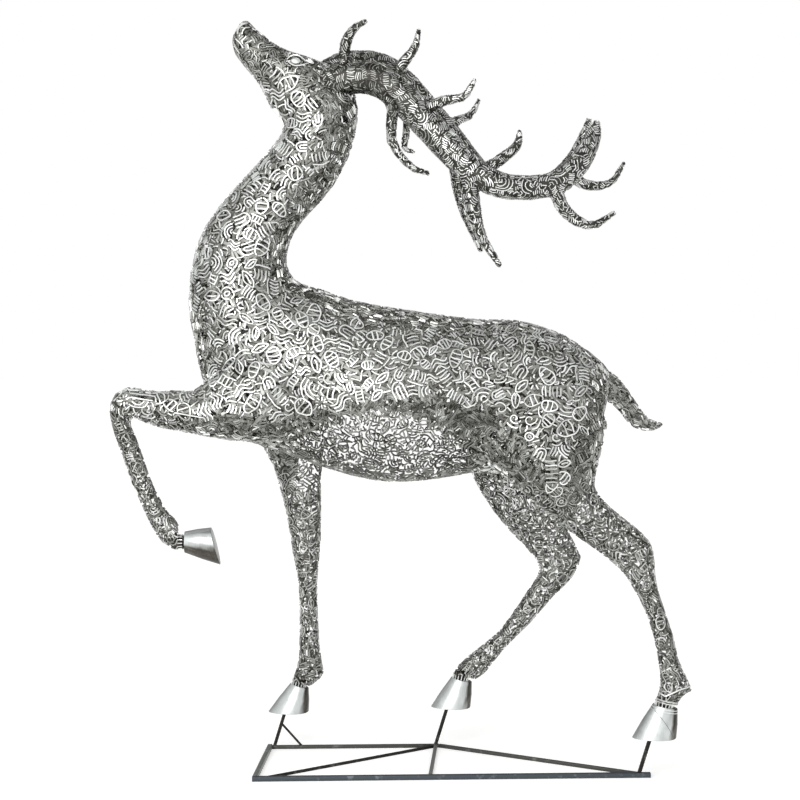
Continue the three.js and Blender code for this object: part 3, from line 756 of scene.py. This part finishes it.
# an earlier plan's strokes stop a later one's
bodyPlans = [
    dict(boldStrip, gap=0.045, motifs=boldMotifs, scale=(0.78, 1.12), shortest=0.012, step=0.0068,
         wide=(0.0056, 0.0070), sink=(0, 0.0012), tone=(0.86, 0.1)),
    dict(boldStrip, gap=0.0115, motifs=[(dash(20, 46, 0.22), 1)], scale=(1, 1), shortest=0.009, step=0.009,
         wide=(0.0052, 0.0066), sink=(0.0005, 0.002), tone=(0.76, 0.13)),
    dict(cheekStrip, gap=0.034, motifs=boldMotifs, scale=(0.6, 0.9), room=0.0092, touch=0.0048,
         shortest=0.009, step=0.006, wide=(0.0044, 0.0056), sink=(0, 0.001), tone=(0.58, 0.12)),
    dict(cheekStrip, gap=0.0095, motifs=[(dash(14, 30, 0.2), 1)], scale=(1, 1), room=0.0088, touch=0.0045,
         shortest=0.006, step=0.01, wide=(0.0042, 0.0054), sink=(0.0005, 0.002), tone=(0.52, 0.14)),
    dict(legStrip, gap=0.036, motifs=boldMotifs, scale=(0.6, 0.82), room=0.0088, shortest=0.009, step=0.0078,
         wide=(0.0044, 0.0054), sink=(0, 0.0012), tone=(0.6, 0.12)),
    dict(legStrip, gap=0.0084, motifs=[(dash(12, 30, 0.25), 1)], scale=(1, 1), room=0.0086, shortest=0.004,
         step=0.013, wide=(0.0044, 0.0056), sink=(0, 0.0015), tone=(0.54, 0.16)),
    # the belly strokes' low tones are painted shade for the underside
    dict(bellyStrip, gap=0.046, motifs=boldMotifs, scale=(0.7, 0.95), room=0.0104, shortest=0.012,
         step=0.0082, sink=(0, 0.0012), tone=(0.46, 0.1)),
    dict(bellyStrip, gap=0.0094, motifs=[(dash(18, 42, 0.2), 1)], scale=(1, 1), room=0.0102, shortest=0.006,
         step=0.013, sink=(0, 0.0015), tone=(0.44, 0.1)),
    dict(fineStrip, gap=0.036, motifs=fineMotifs, scale=(0.6, 0.75), shortest=0.008, step=0.0085,
         sink=(0, 0.0015), tone=(0.62, 0.17)),
    dict(fineStrip, gap=0.0098, motifs=[(dash(16, 38, 0.22), 1)], scale=(1, 1), shortest=0.006, step=0.014,
         sink=(0, 0.002), tone=(0.57, 0.18)),
]
# the inner layer is real deeper strokes, given low tones as painted shade for the shaded hollow inside the
# body and legs
linerPlan = {"zone": (0, 1, 4), "gap": 0.0175, "scale": (1, 1), "step": 0.024, "sides": 4,
             "wide": (0.011, 0.014), "deep": 0.0025, "sink": (0.0048, 0.0085), "tone": (0.42, 0.08)}
legLinerPlan = {"zone": (3,), "gap": 0.019, "scale": (0.5, 0.7), "step": 0.016, "sides": 4,
                "wide": (0.007, 0.010), "deep": 0.0025, "sink": (0.0045, 0.0075), "tone": (0.38, 0.08)}
hemPlan = {"piece": 2, "step": 0.006, "sides": 4, "wide": (0.0045, 0.0055), "deep": 0.004,
           "sink": (0, 0.0008), "tone": (0.82, 0.06)}
facePlan = {"piece": 1, "room": 0.0, "touch": 0.0, "shortest": 0.0, "step": 0.006, "sides": 4,
            "wide": (0.0052, 0.0060), "deep": 0.004, "sink": (-0.0004, 0), "tone": (0.9, 0.04)}
studPlan = {"piece": 2, "step": 0.006, "sides": 4, "wide": (0.0032, 0.0040), "deep": 0.0035,
            "sink": (0, 0.0003), "tone": (0.9, 0.05)}
foot = {"turns": 48, "hems": (0.0145, 0.022), "studEvery": 3, "studIn": 0.004, "studLow": 0.0006,
        "studMiddle": 0.008, "studTop": 0.0155, "studFlare": 0.002}
footTurns = np.linspace(0, 2 * math.pi, foot["turns"] + 1)[:-1]


def hemRings(skin):
    # the strips wrapped round the left hind leg over its hoof, and the studs that carry each leg
    strokes = []
    for number, (hoof, (centre, axis, rim)) in enumerate(hoofRims.items()):
        centre, axis = np.array(centre), np.array(axis) / np.linalg.norm(axis)
        if hoof == "left_hind_hoof":
            strokes += [castRing(skin, centre, axis, height, footTurns, hemPlan, -1 - number)
                        for height in foot["hems"]]
        for way in ringWays(axis, footTurns[::foot["studEvery"]]):
            low = centre + axis * foot["studLow"] + way * (rim - foot["studIn"])
            top = low + axis * foot["studTop"] + way * foot["studFlare"]
            strokes.append({"points": np.array([low, low + axis * foot["studMiddle"], top]),
                            "normals": np.array([way] * 3), "closed": False, "group": -1 - number,
                            "plan": studPlan})
    return strokes


bodySize = {"voxel": 0.0065, "rounds": 5, "reach": 0.007, "places": 130000}
planStride = 100000    # keeps the groups of different plans apart


def makeBody(material):
    rng = np.random.default_rng(11)
    skin = guideSkin("deer_body", bodySize["voxel"], bodySize["rounds"], bodySize["reach"])
    print("body skin laid,", round(float(skin["areas"].sum()), 2), "square metres")
    places, normals = spread(skin, bodySize["places"], 3)
    zone = zoneNumbers(places)
    strokes = []
    for number, plan in enumerate(bodyPlans):
        spots = thinOut(places, np.flatnonzero(zone == plan["zone"]), plan["gap"])
        strokes += layMotifs(skin, places[spots], normals[spots], plan["motifs"], rng, plan,
                             number * planStride)
    drawn = [traced(skin, line, side, facePlan, -10)
             for line in faceStrokes.values() for side in (-1, 1)]
    drawn += [traced(skin, line, -1, facePlan, -20) for line in leftSideStrokes.values()]
    strokes = hemRings(skin) + buttStrokes(drawn + strokes, keptBare)
    pieces = []
    for number, name in enumerate(("bodyBoldStrokes", "bodyFineStrokes", "bodyOpenStrokes")):
        chosen = [s for s in strokes if s["plan"]["piece"] == number]
        pieces.append(sweptStrokes(name, chosen, rng, material))
    deeper = []
    for plan in (linerPlan, legLinerPlan):
        spots = thinOut(places, np.flatnonzero(np.isin(zone, plan["zone"])), plan["gap"])
        deeper += layMotifs(skin, places[spots], normals[spots], [(dash(44, 64, 0.1), 1)], rng,
                            plan, 0)
    pieces.append(sweptStrokes("bodyInnerStrokes", trimmed(deeper), rng, material))
    return pieces, skin


antlerStrip = {"touch": 0.0038, "sides": 4, "deep": 0.003}
antlerPlans = [
    dict(antlerStrip, gap=0.026, motifs=[(hatch, 0.75), (chevrons, 0.15), (nestedArcs, 0.1)],
         scale=(0.85, 1.05), room=0.0068, shortest=0.006, step=0.010, wide=(0.0038, 0.0047),
         sink=(0, 0.0006), tone=(0.84, 0.12)),
    dict(antlerStrip, gap=0.0066, motifs=[(dash(9, 22, 0.15), 1)], scale=(1, 1), room=0.0068, touch=0.0040,
         shortest=0.003, step=0.012, wide=(0.0038, 0.0048), sink=(0, 0.0008), tone=(0.78, 0.15)),
]
antlerTips = {
    "left_antler": [(-0.121, -0.125, 2.52), (0.053, -0.135, 2.49), (0.233, -0.205, 2.321),
                    (0.388, -0.13, 2.162), (0.083, -0.18, 2.016), (0.315, -0.23, 1.712),
                    (0.695, -0.2, 1.888)],
    "right_antler": [(-0.143, 0.12, 2.546), (0.281, 0.205, 2.306), (0.78, 0.115, 2.08),
                     (0.051, 0.16, 2.116), (0.291, 0.22, 1.776)],
}
antlerSize = {"voxel": 0.0038, "rounds": 1, "reach": 0.004, "places": 34000,
              "root": (-0.11, 2.3), "rootReach": 0.24, "rootShade": 0.4,    # painted shade, darker towards the head
              "sideTurn": 0.72, "edgeShade": 0.5,                           # and along upper and lower edges
              # the core's near-black tone is painted shade for the antler's shaded hollow
              "coreShare": 0.22, "coreSink": 0.0026, "coreShadeTone": 0.1}


def makeAntler(nodeName, name, seed, material):
    rng = np.random.default_rng(seed)
    size = antlerSize
    skin = guideSkin(nodeName, size["voxel"], size["rounds"], size["reach"], antlerTips[nodeName])
    places, normals = spread(skin, size["places"], seed)
    strokes = []
    for number, plan in enumerate(antlerPlans):
        spots = thinOut(places, np.arange(len(places)), plan["gap"])
        strokes += layMotifs(skin, places[spots], normals[spots], plan["motifs"], rng, plan,
                             number * planStride)
    strokes = buttStrokes(strokes)
    # painted shade: each stroke is darkened towards the head and where it turns up or down from the sides
    for stroke in strokes:
        x, _, z = stroke["points"][0]
        rootward = max(0.0, 1 - math.dist((x, z), size["root"]) / size["rootReach"])
        edge = min(0.0, abs(float(stroke["normals"][0][1])) - size["sideTurn"])
        stroke["lit"] = size["edgeShade"] * edge - size["rootShade"] * rootward
    lattice = sweptStrokes(name + "Strokes", strokes, rng, material)
    # the sheet core that shows between the strokes, near black: painted shade for the hollow inside the
    # antler
    core = skin["guide"]
    core.name = name + "Core"
    thin = core.modifiers.new("thin", "DECIMATE")
    thin.ratio = size["coreShare"]
    applyAll(core)
    editAll(core, bpy.ops.transform.shrink_fatten, value=-size["coreSink"])
    bpy.ops.object.shade_smooth()
    setTone(core.data, np.full(len(core.data.vertices), size["coreShadeTone"]))
    core.data.materials.append(material)
    print(core.name, len(core.data.polygons), "triangles")
    return [lattice, core]


eyePlate = {"rims": ((1.0, -0.004), (1.0, -0.0008), (0.62, 0.0012), (0.25, 0.0019)),    # share and lift
            "around": 16, "tone": 0.86}


def makeEye(skin, name, side, material):
    # a small domed plate between the lids
    around = eyePlate["around"]
    rims = []
    middle = np.mean(eyeball, axis=0)
    for share, lift in eyePlate["rims"]:
        line = middle + (np.array(eyeball) - middle) * share
        rim = resample(line, True, 0.01, around + 1)[:around]
        for x, z in rim:
            spot, normal = seenFrom(side, skin, x, z)
            rims.append(spot + normal * lift)
    last = len(rims) - around
    faces = [[row + j, row + (j + 1) % around, row + around + (j + 1) % around, row + around + j]
             for row in range(0, last, around) for j in range(around)]
    faces += [list(range(last, last + around)), list(range(around - 1, -1, -1))]
    mesh = bpy.data.meshes.new(name)
    mesh.from_pydata(rims, [], faces)
    piece = bpy.data.objects.new(name, mesh)
    bpy.context.collection.objects.link(piece)
    editAll(piece, bpy.ops.mesh.normals_make_consistent, inside=False)
    soft = piece.modifiers.new("soft", "SUBSURF")
    soft.levels = 1
    applyAll(piece)
    bpy.ops.object.shade_smooth_by_angle(angle=math.radians(50))
    setTone(mesh, np.full(len(mesh.vertices), eyePlate["tone"]))
    mesh.materials.append(material)
    return piece


collar = {"share": 0.74, "tall": 0.03, "rise": 0.0138, "wall": 0.0025, "edge": 0.0006}


def makeCollar(name, centre, axis, rim, material):
    # the short dark tube inside a leg's foot, seen between the studs, in blackened steel: painted shade for
    # the dark opening of the foot
    bpy.ops.mesh.primitive_cylinder_add(vertices=28, radius=rim * collar["share"], depth=collar["tall"],
                                        end_fill_type="NOTHING")
    piece = bpy.context.object
    piece.name = name
    wall = piece.modifiers.new("wall", "SOLIDIFY")
    wall.thickness = collar["wall"]
    softEdges(piece, collar["edge"], 2, 30)
    applyAll(piece)
    turn = Vector(axis).to_track_quat("Z", "Y").to_matrix().to_4x4()
    piece.data.transform(turn)
    middle = Vector(centre) + Vector(axis).normalized() * collar["rise"]
    for vertex in piece.data.vertices:
        vertex.co += middle
    bpy.ops.object.shade_smooth_by_angle(angle=math.radians(40))
    piece.data.materials.append(material)
    return piece


# a hoof's tone swings in soft bands round it, painted reflections of its faint facets, and darkens as
# painted shade on the raised hoof's underside and the others' rear edges
hoofSheet = {"edge": 0.0012, "sharp": 40, "smooth": 38, "tone": 0.6, "facetBands": 9, "facetBandTone": 0.045,
             "under": (0.02, 0.4, 0.5),    # painted shade: where the raised hoof's underside starts to darken, over what, how much
             "heel": (0.62, 0.1, 0.56)}


def makeHoof(nodeName, name, raised, material):
    hoof = mergedCopy(nodeName, name)
    editAll(hoof, bpy.ops.mesh.tris_convert_to_quads, face_threshold=0.4, shape_threshold=0.8)
    softEdges(hoof, hoofSheet["edge"], 3, hoofSheet["sharp"])
    applyAll(hoof)
    bpy.ops.object.shade_smooth_by_angle(angle=math.radians(hoofSheet["smooth"]))
    centre, axis, _ = hoofRims[nodeName]
    centre, axis = Vector(centre), Vector(axis).normalized()
    tones = []
    for vertex in hoof.data.vertices:
        out = vertex.co - centre
        out = (out - axis * out.dot(axis)).normalized()
        turn = math.atan2(out.y, out.z if raised else out.x)
        # soft bands of tone round the hoof: painted reflections of its facets
        level = hoofSheet["tone"] + hoofSheet["facetBandTone"] * math.sin(hoofSheet["facetBands"] * turn + out.y * 3)
        # painted shade: the raised hoof's underside is the dark one, and the others are darker on their rear
        # edge
        start, over, amount = hoofSheet["under"] if raised else hoofSheet["heel"]
        past = start - out.z if raised else out.x - start
        level -= amount * max(0.0, min(1.0, past / over))
        tones.append(level)
    setTone(hoof.data, tones)
    hoof.data.materials.append(material)
    return hoof


weldPlan = {"step": 0.006, "sides": 4, "wide": (0.0018, 0.0022), "deep": 0.002, "sink": (-0.0006, -0.0005),
            "tone": (0.3, 0.03)}
bandPlan = dict(weldPlan, wide=(0.0028, 0.0030), tone=(0.9, 0.02))
hoofSeam = [(0.8236, 0.251), (0.8429, 0.2283), (0.8659, 0.2001), (0.8836, 0.1739), (0.8956, 0.1492)]
bandHeights = (-0.005, -0.0135)


def hoofWelds(material):
    # the left hind hoof is pieced together: a seam runs down its side and two thin bands close its top
    hoof = mergedCopy("left_hind_hoof", "seamed")
    skin = skinOf(hoof)
    strokes = [traced(skin, hoofSeam, side, weldPlan, side) for side in (-1, 1)]
    centre, axis, _ = hoofRims["left_hind_hoof"]
    centre, axis = np.array(centre), np.array(axis) / np.linalg.norm(axis)
    strokes += [castRing(skin, centre, axis, height, footTurns, bandPlan, 0) for height in bandHeights]
    bpy.data.objects.remove(hoof)
    return sweptStrokes("leftHindHoofWelds", strokes, np.random.default_rng(5), material)


barStock = {"edge": 0.0008, "sharp": 40, "smooth": 38}


def makeBar(nodeName, name, material):
    piece = mergedCopy(nodeName, name)
    softEdges(piece, barStock["edge"], 2, barStock["sharp"])
    applyAll(piece)
    bpy.ops.object.shade_smooth_by_angle(angle=math.radians(barStock["smooth"]))
    piece.data.materials.append(material)
    return piece


view = {"at": (-0.2003, -5.5956, 1.578), "turn": 2.0, "down": 3.25, "lens": 73.755}
bpy.ops.object.camera_add(location=view["at"],
                          rotation=(math.radians(90 - view["down"]), 0, math.radians(-view["turn"])))
camera = bpy.context.object
camera.data.lens = view["lens"]
camera.data.sensor_width = 36
bpy.context.scene.camera = camera

bpy.ops.mesh.primitive_plane_add(size=60)
floor = bpy.context.object
floor.name = "paleFloor"
floorPaint = bpy.data.materials.new("matt pale floor")
floorPaint.use_nodes = True
matt = floorPaint.node_tree.nodes["Principled BSDF"]
matt.inputs["Base Color"].default_value = linearFromHex("#fbfbfa")
matt.inputs["Roughness"].default_value = 0.9
matt.inputs["Emission Color"].default_value = linearFromHex("#ffffff")
matt.inputs["Emission Strength"].default_value = 0.3
floor.data.materials.append(floorPaint)

# the studio is white behind the stag and shaded round the sides, so the metal keeps dark edges
sky = bpy.data.worlds.new("pale studio")
bpy.context.scene.world = sky
sky.use_nodes = True
studio = sky.node_tree
heading = addNode(studio, "ShaderNodeTexCoord").outputs["Generated"]
facing = addNode(studio, "ShaderNodeVectorMath", {"operation": "DOT_PRODUCT", 1: (-0.22, -0.92, 0.33)},
                 {0: heading})
glow = addNode(studio, "ShaderNodeMapRange",
               {"From Min": -0.7, "From Max": 1.0, "To Min": 0.28, "To Max": 1.25},
               {"Value": facing.outputs["Value"]})
seen = addNode(studio, "ShaderNodeLightPath").outputs["Is Camera Ray"]
level = addNode(studio, "ShaderNodeMix", {"B": 1.0}, {"Factor": seen, "A": glow.outputs["Result"]})
studio.links.new(level.outputs["Result"], studio.nodes["Background"].inputs["Strength"])
studio.nodes["Background"].inputs["Color"].default_value = linearFromHex("#ffffff")
bpy.context.scene.view_settings.view_transform = "Standard"

softbox = {"at": (-2.0, -5.0, 3.0), "aim": (0, 0, 1.3), "size": 4.5, "power": 125}
bpy.ops.object.light_add(type="AREA", location=softbox["at"])
light = bpy.context.object
light.name = "frontSoftbox"
light.data.size = softbox["size"]
light.data.energy = softbox["power"]
light.rotation_euler = (Vector(softbox["aim"]) - Vector(softbox["at"])).to_track_quat("-Z", "Y").to_euler()
print("camera and light set")

stainless = weldedStainless("welded stainless strip", stripFinish)
sheet = satinSheet("satin stainless sheet", sheetFinish)
dressed = []    # each piece with the node that it replaces and its slot
bodyPieces, bodySkin = makeBody(stainless)
bodyPieces += [makeEye(bodySkin, name, side, stainless) for name, side in (("leftEye", -1), ("rightEye", 1))]
dressed += [(piece, "deer_body", "openwork_steel") for piece in bodyPieces]
bpy.data.objects.remove(bodySkin["guide"])
for nodeName, name, seed in (("left_antler", "leftAntler", 21), ("right_antler", "rightAntler", 22)):
    dressed += [(piece, nodeName, "dark_openwork_steel")
                for piece in makeAntler(nodeName, name, seed, stainless)]
print("strokes laid")

for nodeName, name in (("left_front_hoof", "leftFrontHoof"), ("right_front_hoof", "rightFrontHoof"),
                       ("left_hind_hoof", "leftHindHoof"), ("right_hind_hoof", "rightHindHoof")):
    dressed.append((makeHoof(nodeName, name, nodeName == "left_front_hoof", sheet), nodeName, "satin_sheet"))
dressed.append((hoofWelds(stainless), "left_hind_hoof", "satin_sheet"))

blueGrey = barSteel("blue-grey painted bar", "#4a5055", "#6f7478")
darkGrey = barSteel("mill-scale bar", "#4c4c49", "#6c6b66")
black = barSteel("blackened bar", "#2b2927", "#5d5a55")
bare = barSteel("bare steel tube", "#8a8c89", "#b0b2ae")
# the collars take the blackened bar steel as painted shade for the dark inside of each foot
for name, nodeName in (("leftFrontCollar", "left_front_hoof"), ("rightFrontCollar", "right_front_hoof"),
                       ("leftHindCollar", "left_hind_hoof"), ("rightHindCollar", "right_hind_hoof")):
    dressed.append((makeCollar(name, *hoofRims[nodeName], black), "deer_body", "blackened_steel"))
bars = {"near_rail": ("nearRail", blueGrey, "blackened_steel"), "end_bar": ("endBar", bare, "grey_steel"),
        "far_rail_front": ("farRailFront", darkGrey, "blackened_steel"),
        "far_rail_rear": ("farRailRear", darkGrey, "blackened_steel"),
        "cross_bar": ("crossBar", bare, "grey_steel"),
        "diagonal_bar": ("diagonalBar", black, "blackened_steel"),
        "post_right_front": ("postRightFront", black, "blackened_steel"),
        "post_right_hind": ("postRightHind", black, "blackened_steel"),
        "post_left_hind": ("postLeftHind", black, "blackened_steel"),
        "post_brace": ("postBrace", black, "blackened_steel")}
dressed += [(makeBar(nodeName, name, steel), nodeName, slot)
            for nodeName, (name, steel, slot) in bars.items()]
for piece, nodeName, slot in dressed:
    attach(piece, "root")
    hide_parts(nodeName)
print("hooves and bars made")
